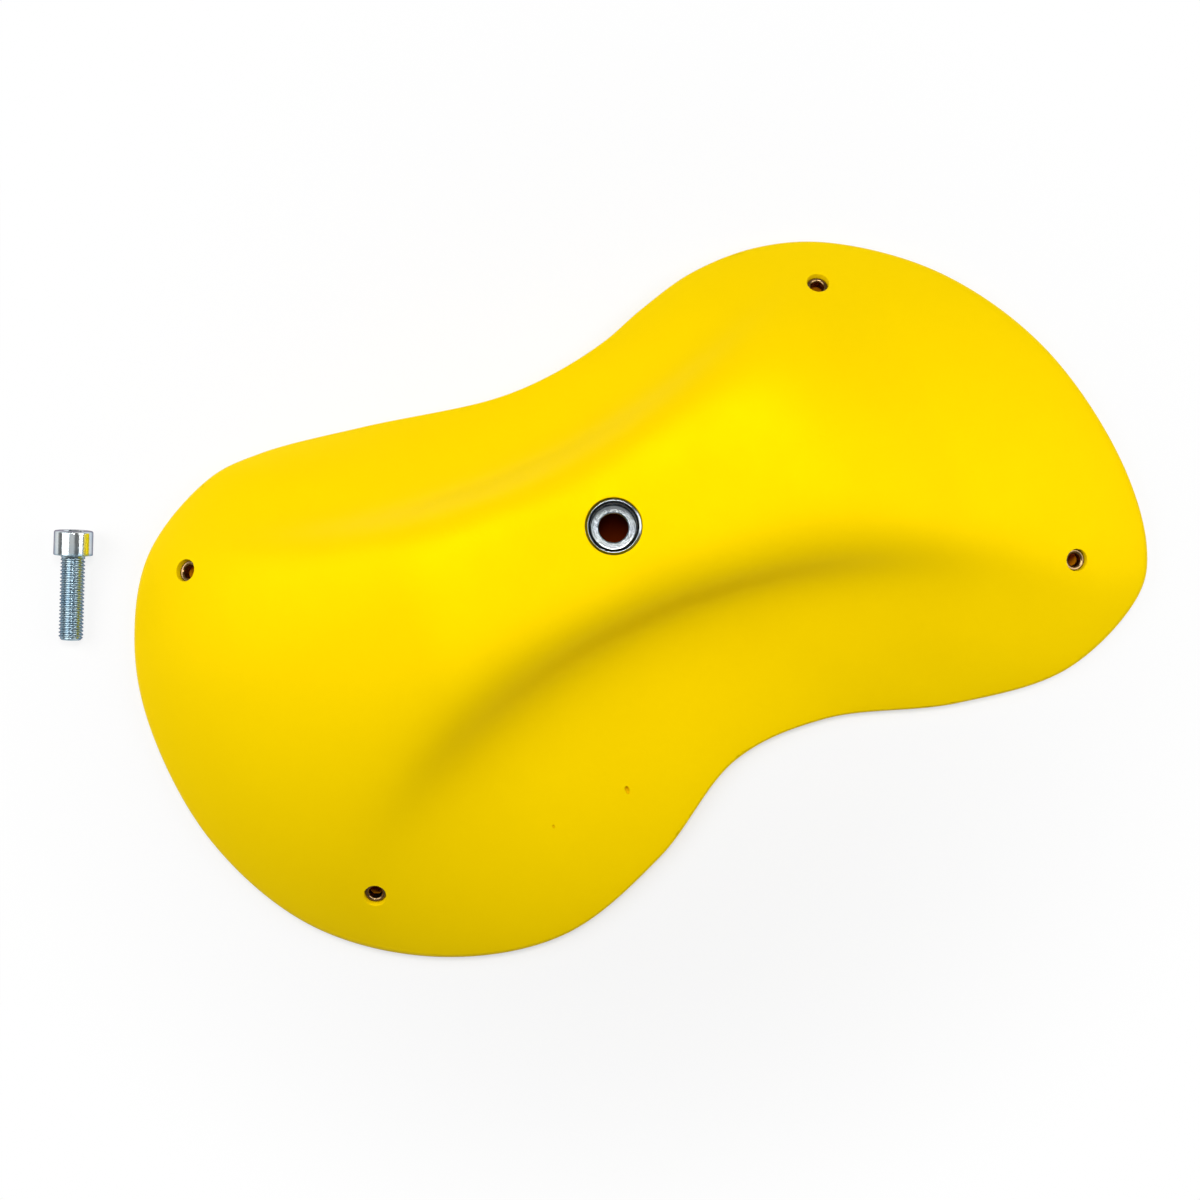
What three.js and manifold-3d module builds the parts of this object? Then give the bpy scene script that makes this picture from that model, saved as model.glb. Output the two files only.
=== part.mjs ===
// Two-lobed climbing hold: a moulded shell with a raised ridge between two scoops,
// a steel cup for its bolt, four steel ferrules for screws, and the bolt lying beside it.
// Millimetres, +Z away from the wall. The hold lies on its flat back.

import * as THREE from 'three';
import { mergeVertices } from 'three/addons/utils/BufferGeometryUtils.js';
import Module from 'manifold-3d';

const wasm = await Module();
wasm.setup();

// Size of the hold
const holdLength = 412;
const holdWidth = 232;
const crestHeight = 40;
const rimHeight = 5;
const lobeSwell = 15;
const holdTurn = THREE.MathUtils.degToRad(23);

// Hollow back
const wallThickness = 9;
const landWidth = 14;
const ribThickness = 7;
const mouldDraft = THREE.MathUtils.degToRad(4);

// Outline seen square to the wall, measured from the bolt axis:
// shares of the length along the hold, and of the width across it
const outlineShares = [
  [0.467, 0.0], [0.401, 0.191], [0.31, 0.318], [0.242, 0.36], [0.172, 0.364], [0.111, 0.339],
  [0.064, 0.312], [0.0, 0.294], [-0.06, 0.295], [-0.191, 0.34], [-0.296, 0.368], [-0.353, 0.362],
  [-0.437, 0.282], [-0.484, 0.152], [-0.504, 0.0], [-0.492, -0.234], [-0.432, -0.442],
  [-0.327, -0.58], [-0.205, -0.63], [-0.086, -0.57], [0.023, -0.463], [0.12, -0.458],
  [0.248, -0.524], [0.365, -0.544], [0.459, -0.471], [0.484, -0.4], [0.494, -0.235],
];

// The surface rises to the crest as a rounded hill, flatter on top where its share is greater,
// with the lobes swelling above the waist
const leftHillShare = 2.6;
const rightHillShare = 1.4;
const waistHillShare = 3.1;
const hillBlend = 40;
const edgeRoundShare = 1.1;
const waistCentre = 25;
const waistReach = 114;
const fadeShare = 1.6;

// Two scoops leave the ridge standing between them. Each has a crease line that bows
// away from the ridge, and fades out along the hold at its reach
const ridgeRoundShare = 5.5;
const ridgeEdgeShare = 0.4;
const leastFadeShare = 0.3;
const lowerScoop = {
  side: -1,
  centre: 12,
  reach: 230,
  narrowest: 1,
  crease: 38.5,
  bow: 93,
  depthShare: 0.85,
  softShare: 0.61,
};
const upperScoop = {
  side: 1,
  centre: -18,
  reach: 224,
  narrowest: -30,
  crease: 35,
  bow: 76,
  depthShare: 0.72,
  softShare: 0.5,
};

// Bolt: a socket head cap screw with its thread shown at its full diameter
const boltDiameter = 10;
const boltLength = 35;
const headDiameter = 16;
const headHeight = 10;
const headEdge = 0.8;
const neckFillet = 0.6;
const tipChamfer = 1.1;
const keyAcrossFlats = 8;
const keyDepth = 5;
const keyDrillDepth = 1.2;

// Steel cup that takes the bolt's head
const seatHeight = 20;
const cupRecess = 0.8;
const cupWall = 1.8;
const cupFloor = 3;
const anchorFlange = 2;
const headClearance = 1.4;
const boltClearance = 1;
const seatFillet = 0.8;
const cupEdge = 0.4;

// Steel ferrules for the wood screws near the rim
const screwDiameter = 4.5;
const screwClearance = 0.35;
const ferruleWall = 1.6;
const ferruleHeight = 4;
const ferruleEdge = 0.4;
const ferruleDepth = 2.4;
const bossWall = 4.5;
const screwPlaces = [
  { name: 'screw_ferrule_top', lengthShare: 0.281, widthShare: 0.256 },
  { name: 'screw_ferrule_left', lengthShare: -0.406, widthShare: 0.225 },
  { name: 'screw_ferrule_right', lengthShare: 0.41, widthShare: -0.371 },
  { name: 'screw_ferrule_bottom', lengthShare: -0.359, widthShare: -0.431 },
];

// Bolt lying beside the hold
const looseBoltGap = 16;
const looseBoltDrop = 1;
const looseBoltTurn = THREE.MathUtils.degToRad(-2.5);

// Clearance between moulded-in metal and its pocket, and how far a cut runs past a face
const seatGap = 0.3;
const overrun = 2;
const cutTop = crestHeight + lobeSwell + overrun;

// Facets
const outlineColumns = 108;
const surfaceRings = 20;
const pocketRings = 11;
const outlineSamples = 1080;
const roundSides = 40;
const smallSides = 20;
const keySides = 6;
const slopeStep = 0.5;
const mergeDistance = 1e-4;

const boltRadius = boltDiameter / 2;
const headRadius = headDiameter / 2;
const cupBore = headRadius + headClearance;
const cupRadius = cupBore + cupWall;
const flangeRadius = cupRadius + anchorFlange;
const boltHole = boltRadius + boltClearance;
const screwHole = screwDiameter / 2 + screwClearance;
const ferruleRadius = screwHole + ferruleWall;

// Outline

const outlineCurve = new THREE.CatmullRomCurve3(
  outlineShares.map(([along, across]) => new THREE.Vector3(along * holdLength, across * holdWidth, 0)),
  true,
  'centripetal',
);

function outlinePoint(share) {
  return outlineCurve.getPoint(share);
}

function insetPoint(share, inset) {
  const point = outlinePoint(share);
  const along = outlineCurve.getTangent(share);
  return point.add(new THREE.Vector3(-along.y, along.x, 0).multiplyScalar(inset));
}

const outlineByAngle = Array.from({ length: outlineSamples }, (_, i) => {
  const point = outlinePoint(i / outlineSamples);
  return { angle: Math.atan2(point.y, point.x), radius: Math.hypot(point.x, point.y) };
}).sort((a, b) => a.angle - b.angle);

// Distance from the bolt axis to the outline in one direction
function outlineRadius(angle) {
  const last = outlineByAngle.length - 1;
  let next = outlineByAngle.findIndex((sample) => sample.angle >= angle);
  if (next < 0) {
    next = 0;
  }
  const a = outlineByAngle[next === 0 ? last : next - 1];
  const b = outlineByAngle[next];
  const span = (b.angle - a.angle + 2 * Math.PI) % (2 * Math.PI);
  const part = (angle - a.angle + 2 * Math.PI) % (2 * Math.PI);
  return a.radius + (b.radius - a.radius) * (part / span);
}

// Surface

// One at the centre, fading to nothing at the reach
function fadeAlong(along, centre, reach) {
  const part = (along - centre) / reach;
  return Math.max(1 - part * part, 0) ** fadeShare;
}

// Share of the hill's height that one scoop takes away. Inside its crease the ridge
// falls as a rounded bar, and outside the crease lies the scoop's floor.
function scoopShare(scoop, along, across) {
  const fade = fadeAlong(along, scoop.centre, scoop.reach);
  const bend = (along - scoop.narrowest) / scoop.reach;
  const crease = scoop.crease + scoop.bow * bend * bend;
  const part = Math.max(scoop.side * across, 0) / crease;
  const soft = scoop.softShare / Math.max(fade, leastFadeShare);
  const bar = (value) => ((value + Math.hypot(value, soft)) / 2) ** ridgeEdgeShare;
  return scoop.depthShare * fade * (1 - bar(1 - part ** ridgeRoundShare) / bar(1));
}

// The hill's share at one place along the hold: each lobe's own, and the waist's between them
function hillShareAt(along, waist) {
  const right = (1 + Math.tanh(along / hillBlend)) / 2;
  const lobe = leftHillShare + (rightHillShare - leftHillShare) * right;
  return lobe + (waistHillShare - lobe) * waist;
}

function surfaceHeight(along, across) {
  const out = Math.min(Math.hypot(along, across) / outlineRadius(Math.atan2(across, along)), 1);
  const waist = fadeAlong(along, waistCentre, waistReach);
  const hill = (1 - out ** hillShareAt(along, waist)) ** (1 / edgeRoundShare);
  const rise = crestHeight - rimHeight + lobeSwell * (1 - waist);
  const scoops = scoopShare(lowerScoop, along, across) + scoopShare(upperScoop, along, across);
  return rimHeight + rise * hill * (1 - scoops);
}

function surfaceNormal(along, across) {
  const slopeAlong = surfaceHeight(along + slopeStep, across) - surfaceHeight(along - slopeStep, across);
  const slopeAcross = surfaceHeight(along, across + slopeStep) - surfaceHeight(along, across - slopeStep);
  return new THREE.Vector3(-slopeAlong, -slopeAcross, 2 * slopeStep).normalize();
}

// Closed mound over an outline: rings of points from the bolt axis out to the edge,
// above a flat base
function moundGeometry(edgePoint, columns, rings, heightAt, base) {
  const positions = [0, 0, heightAt(0, 0)];
  for (let ring = 1; ring <= rings; ring += 1) {
    const out = ring / rings;
    for (let column = 0; column < columns; column += 1) {
      const edge = edgePoint(column / columns);
      positions.push(edge.x * out, edge.y * out, heightAt(edge.x * out, edge.y * out));
    }
  }
  for (let column = 0; column < columns; column += 1) {
    const edge = edgePoint(column / columns);
    positions.push(edge.x, edge.y, base);
  }
  positions.push(0, 0, base);
  const baseCentre = positions.length / 3 - 1;
  const index = [];
  for (let column = 0; column < columns; column += 1) {
    const next = (column + 1) % columns;
    index.push(0, 1 + column, 1 + next);
    for (let ring = 0; ring < rings; ring += 1) {
      const inner = 1 + ring * columns;
      const outer = inner + columns;
      index.push(inner + column, outer + column, outer + next);
      index.push(inner + column, outer + next, inner + next);
    }
    const rim = 1 + rings * columns;
    index.push(baseCentre, rim + next, rim + column);
  }
  const geometry = new THREE.BufferGeometry();
  geometry.setAttribute('position', new THREE.Float32BufferAttribute(positions, 3));
  geometry.setIndex(index);
  return geometry;
}

// Solids for joining and cutting

function solidOf(geometry) {
  const bare = geometry.clone();
  bare.deleteAttribute('normal');
  bare.deleteAttribute('uv');
  const merged = mergeVertices(bare, mergeDistance);
  return new wasm.Manifold(new wasm.Mesh({
    numProp: 3,
    vertProperties: new Float32Array(merged.attributes.position.array),
    triVerts: new Uint32Array(merged.index.array),
  }));
}

function geometryOf(solid) {
  const mesh = solid.getMesh();
  const geometry = new THREE.BufferGeometry();
  geometry.setAttribute('position', new THREE.BufferAttribute(new Float32Array(mesh.vertProperties), 3));
  geometry.setIndex(new THREE.BufferAttribute(new Uint32Array(mesh.triVerts), 1));
  return geometry;
}

// Turned solid about +Z from radius and height pairs that start and end on the axis
function turned(profile, sides) {
  const points = profile.map(([radius, height]) => new THREE.Vector2(radius, height));
  return new THREE.LatheGeometry(points, sides).rotateX(Math.PI / 2);
}

// Round bar along +Z between two heights, widening upwards by the mould's draft if asked
function bar(radius, low, high, sides, draft = 0) {
  const top = radius + (high - low) * Math.tan(draft);
  return turned([[0, low], [radius, low], [top, high], [0, high]], sides);
}

// Stations of the four ferrules: a place on the surface and the direction square to it

const screwStations = screwPlaces.map(({ name, lengthShare, widthShare }) => {
  const along = lengthShare * holdLength;
  const across = widthShare * holdWidth;
  const point = new THREE.Vector3(along, across, surfaceHeight(along, across));
  const turn = new THREE.Quaternion().setFromUnitVectors(
    new THREE.Vector3(0, 0, 1),
    surfaceNormal(along, across),
  );
  return { name, point, turn };
});

function atStation(geometry, { point, turn }) {
  return geometry.applyQuaternion(turn).translate(point.x, point.y, point.z);
}

// Moulded body

// Rib across the hollow, thickening upwards by the mould's draft
function ribGeometry(length, angle) {
  const half = ribThickness / 2;
  const top = half + cutTop * Math.tan(mouldDraft);
  const section = new THREE.Shape([
    new THREE.Vector2(-half, -overrun),
    new THREE.Vector2(half, -overrun),
    new THREE.Vector2(top, cutTop),
    new THREE.Vector2(-top, cutTop),
  ]);
  const rib = new THREE.ExtrudeGeometry(section, { depth: length, bevelEnabled: false });
  return rib.translate(0, 0, -length / 2).rotateX(Math.PI / 2).rotateZ(angle);
}

function cupPocket() {
  const foot = seatHeight - cupFloor - seatGap;
  const flangeTop = seatHeight + seatGap;
  const throat = cupRadius + seatGap;
  const flange = flangeRadius + seatGap;
  return turned([
    [0, foot],
    [flange, foot],
    [flange, flangeTop],
    [throat, flangeTop],
    [throat, cutTop],
    [0, cutTop],
  ], roundSides);
}

function hollowSolid() {
  // Under the deepest parts of the scoops there is no room left, and the ceiling ends below the back
  const ceiling = (along, across) => Math.max(surfaceHeight(along, across) - wallThickness, -overrun / 2);
  const edge = (share) => insetPoint(share, landWidth);
  const room = moundGeometry(edge, outlineColumns / 2, pocketRings, ceiling, -overrun);
  const boss = bar(flangeRadius + wallThickness, -overrun, cutTop, roundSides, mouldDraft);
  let hollow = solidOf(room).subtract(solidOf(boss));
  hollow = hollow.subtract(solidOf(ribGeometry(2 * holdWidth, 0)));
  hollow = hollow.subtract(solidOf(ribGeometry(2 * holdLength, Math.PI / 2)));
  for (const station of screwStations) {
    const post = bar(ferruleRadius + bossWall, -cutTop, 0, smallSides);
    hollow = hollow.subtract(solidOf(atStation(post, station)));
  }
  return hollow;
}

function bodyGeometry() {
  const outer = moundGeometry(outlinePoint, outlineColumns, surfaceRings, surfaceHeight, 0);
  let body = solidOf(outer).subtract(hollowSolid()).subtract(solidOf(cupPocket()));
  body = body.subtract(solidOf(bar(boltHole + seatGap, -overrun, seatHeight, roundSides)));
  for (const station of screwStations) {
    const floor = -ferruleDepth - ferruleHeight - seatGap;
    const pocket = bar(ferruleRadius + seatGap, floor, cutTop, smallSides);
    const hole = bar(screwHole + seatGap, -2 * cutTop, 0, smallSides);
    body = body.subtract(solidOf(atStation(pocket, station))).subtract(solidOf(atStation(hole, station)));
  }
  return geometryOf(body);
}

// Cup with a seat for the bolt's head and a flange that the moulding grips
function cupGeometry() {
  const foot = seatHeight - cupFloor;
  const top = surfaceHeight(0, 0) - cupRecess;
  return turned([
    [boltHole, foot],
    [flangeRadius, foot],
    [flangeRadius, seatHeight],
    [cupRadius, seatHeight],
    [cupRadius, top - cupEdge],
    [cupRadius - cupEdge, top],
    [cupBore + cupEdge, top],
    [cupBore, top - cupEdge],
    [cupBore, seatHeight + seatFillet],
    [cupBore - seatFillet, seatHeight],
    [boltHole, seatHeight],
    [boltHole, foot],
  ], roundSides);
}

// Bush with a flat top for the screw's head, below the surface by the ferrule's depth
function ferruleGeometry() {
  const top = -ferruleDepth;
  const foot = top - ferruleHeight;
  return turned([
    [screwHole, foot],
    [ferruleRadius - ferruleEdge, foot],
    [ferruleRadius, foot + ferruleEdge],
    [ferruleRadius, top],
    [screwHole + ferruleEdge, top],
    [screwHole, top - ferruleEdge],
    [screwHole, foot],
  ], smallSides);
}

// Socket head cap screw along +Z, its head's top at zero and its tip below
function boltGeometry() {
  const tip = -headHeight - boltLength;
  const blank = turned([
    [0, tip],
    [boltRadius - tipChamfer, tip],
    [boltRadius, tip + tipChamfer],
    [boltRadius, -headHeight - neckFillet],
    [boltRadius + neckFillet, -headHeight],
    [headRadius, -headHeight],
    [headRadius, -headEdge],
    [headRadius - headEdge, 0],
    [0, 0],
  ], roundSides);
  const keyRadius = keyAcrossFlats / Math.sqrt(3);
  const key = turned([
    [0, -keyDepth - keyDrillDepth],
    [keyRadius, -keyDepth],
    [keyRadius, overrun],
    [0, overrun],
  ], keySides);
  return geometryOf(solidOf(blank).subtract(solidOf(key)));
}

// Materials

const yellowResin = { color: 0xfbd800, roughness: 0.55, metalness: 0 };
const zincPlate = { color: 0xc3c8cc, roughness: 0.32, metalness: 1 };

function namedMesh(name, geometry, look) {
  const mesh = new THREE.Mesh(geometry, new THREE.MeshStandardMaterial(look));
  mesh.name = name;
  return mesh;
}

// Assembly

const hold = new THREE.Group();
hold.rotation.z = holdTurn;
hold.add(namedMesh('hold_body', bodyGeometry(), yellowResin));
hold.add(namedMesh('bolt_insert', cupGeometry(), zincPlate));
for (const { name, point, turn } of screwStations) {
  const ferrule = namedMesh(name, ferruleGeometry(), zincPlate);
  ferrule.position.copy(point);
  ferrule.quaternion.copy(turn);
  hold.add(ferrule);
}

// The loose bolt leans on its head's edge and on the end of its thread
const holdBox = new THREE.Box3().setFromObject(hold, true);
const boltLean = Math.atan2(headRadius - boltRadius, boltLength - tipChamfer);
const boltRise = headRadius * Math.cos(boltLean) + headHeight * Math.sin(boltLean);
const bolt = namedMesh('mounting_bolt', boltGeometry(), zincPlate);
bolt.rotation.x = boltLean - Math.PI / 2;
const looseBolt = new THREE.Group();
looseBolt.rotation.z = looseBoltTurn;
looseBolt.position.set(holdBox.min.x - looseBoltGap - headRadius, -looseBoltDrop, boltRise);
looseBolt.add(bolt);

// The origin is under the middle of everything, on the plane of the hold's back
const assembly = new THREE.Group();
assembly.add(hold, looseBolt);
const box = new THREE.Box3().setFromObject(assembly, true);
assembly.position.set(-(box.min.x + box.max.x) / 2, -(box.min.y + box.max.y) / 2, -box.min.z);

const part = new THREE.Group();
part.add(assembly);

export default part;
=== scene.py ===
import math

import bmesh
import bpy
import numpy as np
from mathutils import Matrix, Vector, noise


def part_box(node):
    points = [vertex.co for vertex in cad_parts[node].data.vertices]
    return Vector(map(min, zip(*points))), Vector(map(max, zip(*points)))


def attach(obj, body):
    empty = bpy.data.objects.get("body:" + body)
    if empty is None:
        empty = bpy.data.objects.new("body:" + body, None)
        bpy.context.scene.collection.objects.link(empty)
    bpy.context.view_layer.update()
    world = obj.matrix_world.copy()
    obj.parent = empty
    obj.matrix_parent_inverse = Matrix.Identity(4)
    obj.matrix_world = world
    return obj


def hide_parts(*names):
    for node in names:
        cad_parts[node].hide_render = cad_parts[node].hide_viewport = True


# Two-lobed climbing hold lying on its back, with its bolt beside it.
# Lengths are in metres, worked out from millimetres.

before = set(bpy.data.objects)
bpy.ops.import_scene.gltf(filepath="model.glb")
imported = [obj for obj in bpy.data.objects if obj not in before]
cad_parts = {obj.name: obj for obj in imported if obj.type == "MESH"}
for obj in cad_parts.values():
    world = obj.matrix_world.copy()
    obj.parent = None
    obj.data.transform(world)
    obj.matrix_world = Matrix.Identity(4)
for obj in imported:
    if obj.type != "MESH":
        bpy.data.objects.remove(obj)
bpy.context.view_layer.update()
MM = 0.001

# Size of the hold

HOLD_LENGTH = 412 * MM
HOLD_WIDTH = 232 * MM
CREST_HEIGHT = 40 * MM
RIM_HEIGHT = 5 * MM
LOBE_SWELL = 15 * MM
HOLD_TURN = math.radians(23)
WALL = 9 * MM
LAND_WIDTH = 14 * MM
RIB_THICKNESS = 7 * MM
MOULD_DRAFT = math.radians(4)

# Outline from the bolt axis: shares of the length along the hold, and of the width across it

OUTLINE_SHARES = [
    (0.467, 0.0), (0.401, 0.191), (0.31, 0.318), (0.242, 0.36), (0.172, 0.364), (0.111, 0.339),
    (0.064, 0.312), (0.0, 0.294), (-0.06, 0.295), (-0.191, 0.34), (-0.296, 0.368), (-0.353, 0.362),
    (-0.437, 0.282), (-0.484, 0.152), (-0.504, 0.0), (-0.492, -0.234), (-0.432, -0.442),
    (-0.327, -0.58), (-0.205, -0.63), (-0.086, -0.57), (0.023, -0.463), (0.12, -0.458),
    (0.248, -0.524), (0.365, -0.544), (0.459, -0.471), (0.484, -0.4), (0.494, -0.235),
]

# Surface: a rounded hill, and two scoops that leave the ridge between them

LEFT_HILL_POWER = 2.6
RIGHT_HILL_POWER = 1.4
WAIST_HILL_POWER = 3.1
HILL_BLEND = 40 * MM
EDGE_ROUND_POWER = 1.1
WAIST_CENTRE = 25 * MM
WAIST_REACH = 114 * MM
FADE_POWER = 1.6
RIDGE_ROUND_POWER = 5.5
RIDGE_EDGE_POWER = 0.4
LEAST_FADE_SHARE = 0.3
LOWER_SCOOP = {
    "side": -1,
    "centre": 12 * MM,
    "reach": 230 * MM,
    "narrowest": 1 * MM,
    "crease": 38.5 * MM,
    "bow": 93 * MM,
    "depth_share": 0.85,
    "soft_share": 0.61,
}
UPPER_SCOOP = {
    "side": 1,
    "centre": -18 * MM,
    "reach": 224 * MM,
    "narrowest": -30 * MM,
    "crease": 35 * MM,
    "bow": 76 * MM,
    "depth_share": 0.72,
    "soft_share": 0.5,
}
SLOPE_STEP = 0.5 * MM

# Rim, unevenness and casting bubbles of the moulded body

RIM_ROUND = 1.5 * MM
BACK_ROUND = 0.6 * MM
WAVE_LENGTH = 38 * MM
WAVE_HEIGHT = 0.25 * MM
PINHOLES = [
    {"along_share": -0.089, "across_share": -0.435, "radius": 1.4 * MM},
    {"along_share": -0.17, "across_share": -0.442, "radius": 0.7 * MM},
]
PINHOLE_SUNK_SHARE = 0.45
PINHOLE_STRETCH_SHARES = (0.75, 1.35, 1.2)
PINHOLE_ARC_RADIANS = 1.4

# Cup and screw ferrules

SEAT_HEIGHT = 20 * MM
SEAT_GAP = 0.3 * MM
CUP_BORE_RADIUS = 9.4 * MM
CUP_WALL = 1.8 * MM
CUP_FLOOR = 3 * MM
CUP_RECESS = 0.8 * MM
CUP_LIP = 0.5 * MM
CUP_LIP_DEPTH = 4 * MM
CUP_RIM_ROUND = 0.25 * MM
CUP_RIM_SLOPE = 0.3 * MM
FUNNEL_WIDTH = 0.8 * MM
FUNNEL_DEPTH = 1.2 * MM
SEAT_FILLET = 0.8 * MM
SEAT_CHAMFER = 0.5 * MM
ANCHOR_FLANGE = 2 * MM
BOLT_HOLE_RADIUS = 6 * MM
SCREW_SHARES = {
    "top": (0.281, 0.256),
    "left": (-0.406, 0.225),
    "right": (0.41, -0.371),
    "bottom": (-0.359, -0.431),
}
SCREW_HOLE_RADIUS = 2.6 * MM
SCREW_LIP = 0.35 * MM
FERRULE_RADIUS = 4.2 * MM
FERRULE_HEIGHT = 4 * MM
FERRULE_DEPTH = 2.4 * MM
FERRULE_EDGE = 0.25 * MM
FERRULE_ENTRY = 1.1 * MM
BOSS_WALL = 4.5 * MM
OVERRUN = 2 * MM

# Bolt

BOLT_RADIUS = 5 * MM
BOLT_LENGTH = 35 * MM
NECK_SHARE = 0.985
NECK_FILLET = 0.6 * MM
HEAD_RADIUS = 8 * MM
HEAD_HEIGHT = 10 * MM
HEAD_EDGE = 0.8 * MM
HEAD_UNDER_EDGE = 0.3 * MM
TIP_CHAMFER = 1.1 * MM
THREAD_PITCH = 1.5 * MM
THREAD_DEPTH = 0.65 * MM
THREAD_RUNOUT = 1.2 * MM
THREAD_CREST_SHARE = 0.125
THREAD_ROOT_SHARE = 0.25
KEY_ACROSS_FLATS = 8 * MM
KEY_DEPTH = 5 * MM
KEY_DRILL_DEPTH = 1.2 * MM
KEY_FLARE = 0.5 * MM
LOOSE_BOLT_TURN = math.radians(-2.5)

# How finely the meshes are divided

BODY_COLUMNS = 540
BODY_RINGS = 130
HOLLOW_RINGS = 60
OUTLINE_TABLE_POINTS = 2160
RIM_STEPS = 4
LIP_STEPS = 6
FINE_SIDES = 96
FERRULE_SIDES = 64
BORE_SIDES = 48
PINHOLE_SIDES = 24
PINHOLE_STEPS = 9
BOLT_SIDES = 72
KEY_SIDES = 6
THREAD_STEPS = 12
SUPPORT = 0.12 * MM

# Edges sharper than these angles, in degrees, stay sharp

SHARP_ANGLE = 40
BOLT_SHARP_ANGLE = 35

# Yellow resin: colours, and noises counted by their features per metre

RESIN_PALE = (0.93, 0.662, 0.0)
RESIN_DEEP = (0.922, 0.65, 0.0)
RESIN_CLOUDS = 24
RESIN_PATCHES = 90
RESIN_ROUGHNESS = (0.46, 0.51)
RESIN_GRAIN = 1600
RESIN_GRAIN_HEIGHT = 0.12 * MM
RESIN_PORES = 420
RESIN_PORE_HEIGHT = 0.2 * MM
RESIN_SHEEN_TINT = (0.7, 0.9, 0.0)
# Painted shade: dark red-brown painted on the walls of the screw holes below the ferrules, within a
# radius of each screw's axis
HOLE_SHADE_RADIUS = 3.3 * MM
HOLE_SHADE_EDGE = 0.3 * MM
PAINTED_HOLE_SHADE = (0.8, 0.3, 0.0)

# Zinc plate: two tints and a range of roughness for each kind of piece

CUP_STEEL = {
    "pale": (0.4, 0.43, 0.42),
    "blue": (0.31, 0.34, 0.37),
    "roughness": (0.13, 0.2),
    "dents": 0.3,
}
# Painted shade and painted reflection: the ferrules' steel is darker and browner than zinc, for the dim
# light and the brown hole walls that it sees deep in the counterbores
FERRULE_SHADED_STEEL = {
    "pale": (0.36, 0.24, 0.12),
    "blue": (0.2, 0.11, 0.04),
    "roughness": (0.22, 0.32),
    "dents": 0.6,
}
BOLT_STEEL = {
    "pale": (0.76, 0.79, 0.78),
    "blue": (0.56, 0.68, 0.76),
    "roughness": (0.1, 0.18),
    "dents": 0.1,
}
ZINC_EDGE_TINT = (0.2, 0.17, 0.25)
ZINC_STAINS = 160
ZINC_PATCHES = 500
ZINC_DENTS = 700
ZINC_DENT_HEIGHT = 0.1 * MM
ZINC_SCRATCHES = 2500
ZINC_SCRATCH_HEIGHT = 0.03 * MM
# The thread is darker, bluer and rougher than the head
THREAD_ROUGHNESS = 0.14
THREAD_SHADE = (0.55, 0.66, 0.72)

# Floor

FLOOR_REACH = 6.0
FLOOR_SHADE = (0.85, 0.85, 0.85)
FLOOR_ROUGHNESS = 0.9
FLOOR_GLOW = 0.55
FLOOR_NEAR = 0.1
FLOOR_FAR = 0.3
# Painted shade: dark red-brown painted on the floor under the bolt hole and the screw posts, where the
# hold covers it
PAINTED_UNDER_HOLD_SHADE = (0.1, 0.012, 0.0)
UNDER_HOLD_SHADE_RADIUS = 18 * MM
UNDER_SCREW_SHADE_RADIUS = 7 * MM
UNDER_HOLD_SHADE_EDGE = 1.5 * MM

# Light of the surroundings: levels, and where they change, from 0 at the horizon to 1 overhead

HORIZON = (0.06, 0.3)
CEILING = (0.92, 0.97)
HORIZON_LEVEL = 0.35
WALL_LEVEL = 0.16
CEILING_LEVEL = 0.6

# Lamps and camera

LAMPS = {
    "left_softbox": {"place": (-0.614, 0.136, 0.582), "size": 0.65, "level": 0.54},
    "right_softbox": {"place": (0.614, 0.136, 0.582), "size": 0.65, "level": 0.45},
    "upper_softbox": {"place": (-0.02, 0.32, 1.15), "size": 0.36, "level": 0.505},
}
PHOTO_WIDTH_PIXELS = 1200
PIXELS_PER_MM = 2.42
VIEW_WIDTH = PHOTO_WIDTH_PIXELS / PIXELS_PER_MM * MM
CAMERA_PLACE = (-0.61 * MM, -0.31 * MM, 1.2)
CAMERA_SIGHT = 20.0

# Places and sizes that follow from these

cup_low, cup_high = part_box("bolt_insert")
BOLT_AXIS = Vector(((cup_low.x + cup_high.x) / 2, (cup_low.y + cup_high.y) / 2, 0))
HOLD_PLACE = Matrix.Translation(BOLT_AXIS) @ Matrix.Rotation(HOLD_TURN, 4, "Z")
CUP_RADIUS = CUP_BORE_RADIUS + CUP_WALL
FLANGE_RADIUS = CUP_RADIUS + ANCHOR_FLANGE
CUT_TOP = CREST_HEIGHT + LOBE_SWELL + OVERRUN


# Outline and surface


def outline_points(count):
    """Closed centripetal curve through the outline's points."""
    corners = np.array(OUTLINE_SHARES) * [HOLD_LENGTH, HOLD_WIDTH]
    spans = len(corners)
    points = []
    for step in range(count):
        place = step / count * spans
        i = int(place)
        t = place - i
        before, start, end, after = (corners[(i + k) % spans] for k in (-1, 0, 1, 2))
        gap_in = np.linalg.norm(start - before) ** 0.5
        gap = np.linalg.norm(end - start) ** 0.5
        gap_out = np.linalg.norm(after - end) ** 0.5
        leave = ((start - before) / gap_in - (end - before) / (gap_in + gap) + (end - start) / gap) * gap
        arrive = ((end - start) / gap - (after - start) / (gap + gap_out) + (after - end) / gap_out) * gap
        points.append(
            (2 * t**3 - 3 * t**2 + 1) * start
            + (t**3 - 2 * t**2 + t) * leave
            + (-2 * t**3 + 3 * t**2) * end
            + (t**3 - t**2) * arrive
        )
    return np.array(points)


def inset(points, distance):
    """The outline moved inwards."""
    along = np.roll(points, -1, axis=0) - np.roll(points, 1, axis=0)
    along /= np.linalg.norm(along, axis=1)[:, None]
    return points + distance * np.column_stack([-along[:, 1], along[:, 0]])


FINE_OUTLINE = outline_points(OUTLINE_TABLE_POINTS)
OUTLINE_ANGLES = np.unwrap(np.arctan2(FINE_OUTLINE[:, 1], FINE_OUTLINE[:, 0]))
OUTLINE_RADII = np.hypot(FINE_OUTLINE[:, 0], FINE_OUTLINE[:, 1])


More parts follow.
